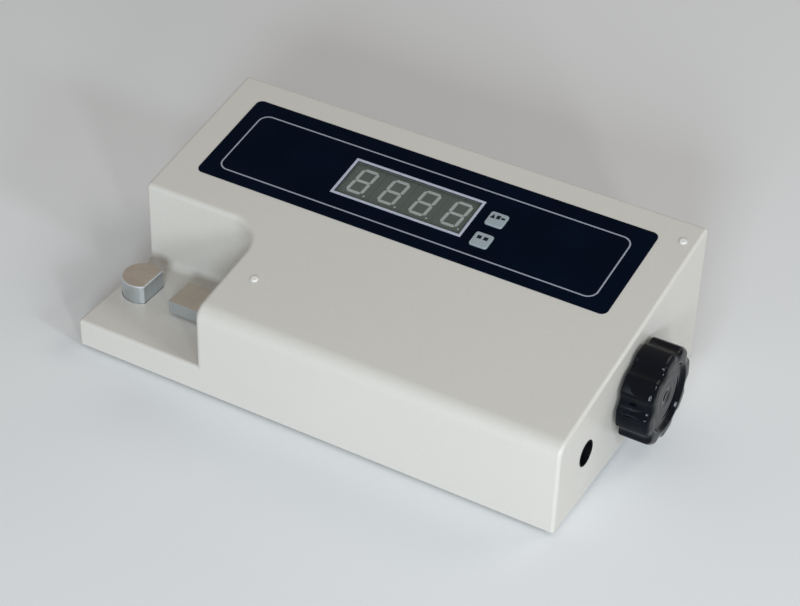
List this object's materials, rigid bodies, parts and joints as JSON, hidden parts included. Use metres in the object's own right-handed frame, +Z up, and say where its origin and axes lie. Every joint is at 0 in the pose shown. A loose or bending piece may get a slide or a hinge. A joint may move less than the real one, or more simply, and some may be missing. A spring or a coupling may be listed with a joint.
{
  "type": "tablet hardness tester",
  "caption": "Bench tester that squeezes a tablet between a steel anvil and a screw-driven jaw in an open bay, with a sloping painted casing, digital display, keys and side handwheel.",
  "frame": {"origin": "on the surface it stands on, under the middle of the casing's outline", "axes": "+X along the casing from the shelf end to the handwheel end, +Y from the front to the back, +Z up"},
  "size_m": [0.321, 0.1875, 0.0881],
  "materials": {
    "casing_paint": "satin",
    "base_paint": "matt",
    "machined_steel": "machined",
    "polished_steel": "polished",
    "ground_steel": "ground",
    "zinc_screws": "zinc plated",
    "black_screws": "black oxide",
    "machined_aluminium": "machined",
    "bronze": "machined",
    "foot_rubber": "matt",
    "knob_plastic": "gloss",
    "panel_film": "satin",
    "display_line": "satin",
    "window_plastic": "clear",
    "module_plastic": "matt",
    "segment_resin": "satin",
    "circuit_board": "satin",
    "black_plastic": "matt",
    "rocker_plastic": "satin",
    "key_plastic": "satin",
    "plug_plastic": "satin",
    "core_steel": "laminated",
    "winding_tape": "satin",
    "zinc_sheet": "zinc plated",
    "capacitor_sleeve": "gloss",
    "black_aluminium": "anodised",
    "trimmer_metal": "satin",
    "pin_metal": "nickel plated",
    "wire_sleeve": "satin"
  },
  "bodies": {
    "casing": {"main_casing": "casing_paint", "hole_plugs": "plug_plastic", "base_plate": "base_paint", "base_plate_screws": "zinc_screws", "rubber_feet": "foot_rubber", "foot_screws": "zinc_screws", "bed_plate": "machined_steel", "bed_plate_screws": "zinc_screws", "fixed_anvil": "polished_steel", "anvil_screw": "black_screws", "left_bearing_block": "machined_aluminium", "right_bearing_block": "machined_aluminium", "block_screws": "black_screws", "rod_grub_screws": "black_screws", "guide_rods": "ground_steel", "bearing_outer_rings": "ground_steel", "shaft_bush": "bronze", "panel_overlay": "panel_film", "display_frame": "display_line", "display_window": "window_plastic", "digit_segments": "segment_resin", "display_board": "circuit_board", "key_switches": "black_plastic", "transformer_core": "core_steel", "transformer_winding": "winding_tape", "transformer_strap": "zinc_sheet", "main_board": "circuit_board", "board_spacers": "bronze", "microcontroller": "black_plastic", "capacitors": "capacitor_sleeve", "heatsink": "black_aluminium", "m3_screws": "zinc_screws", "trimmer_bracket": "zinc_sheet", "calibration_trimmer": "trimmer_metal", "mains_inlet": "black_plastic", "inlet_pins": "pin_metal", "power_switch_housing": "black_plastic", "fuse_holder": "black_plastic", "fuse_cap": "black_plastic", "wiring": "wire_sleeve", "digit_module_1": "module_plastic", "digit_module_2": "module_plastic", "digit_module_3": "module_plastic", "digit_module_4": "module_plastic"},
    "jaw_carriage": {"carriage": "machined_aluminium", "linear_bushes": "bronze", "lead_nut": "bronze", "nut_screws": "zinc_screws", "load_cell": "machined_aluminium", "load_cell_screws": "black_screws", "moving_jaw": "polished_steel"},
    "screw_drive": {"handwheel": "knob_plastic", "handwheel_insert": "bronze", "lead_screw": "ground_steel", "bearing_inner_rings": "ground_steel", "shaft_collar": "ground_steel", "shaft_grub_screws": "black_screws"},
    "upper_key_cap": {"upper_key": "key_plastic"},
    "lower_key_cap": {"lower_key": "key_plastic"},
    "switch_rocker": {"power_switch_rocker": "rocker_plastic"}
  },
  "joints": [
    {"name": "handwheel_spin", "type": "hinge", "parent": "casing", "child": "screw_drive", "pos_m": [0.152, 0.002, 0.038], "axis": [1, 0, 0], "range_deg": [-2974, 4144]},
    {"name": "carriage_slide", "type": "slide", "parent": "casing", "child": "jaw_carriage", "axis": [1, 0, 0], "range_m": [-0.0165, 0.023]},
    {"name": "upper_key_press", "type": "slide", "parent": "casing", "child": "upper_key_cap", "axis": [0, 0.1703, -0.9854], "range_m": [0, 0.0008], "stiffness_N_per_m": 800, "springref_m": -0.0012},
    {"name": "lower_key_press", "type": "slide", "parent": "casing", "child": "lower_key_cap", "axis": [0, 0.1703, -0.9854], "range_m": [0, 0.0008], "stiffness_N_per_m": 800, "springref_m": -0.0012},
    {"name": "power_switch_rock", "type": "hinge", "parent": "casing", "child": "switch_rocker", "pos_m": [-0.062, 0.08875, 0.036], "axis": [1, 0, 0], "range_deg": [0, 20]}
  ],
  "couplings": [
    {"joint": "handwheel_spin", "follows": "carriage_slide", "rad_per_m": 3141.6}
  ]
}
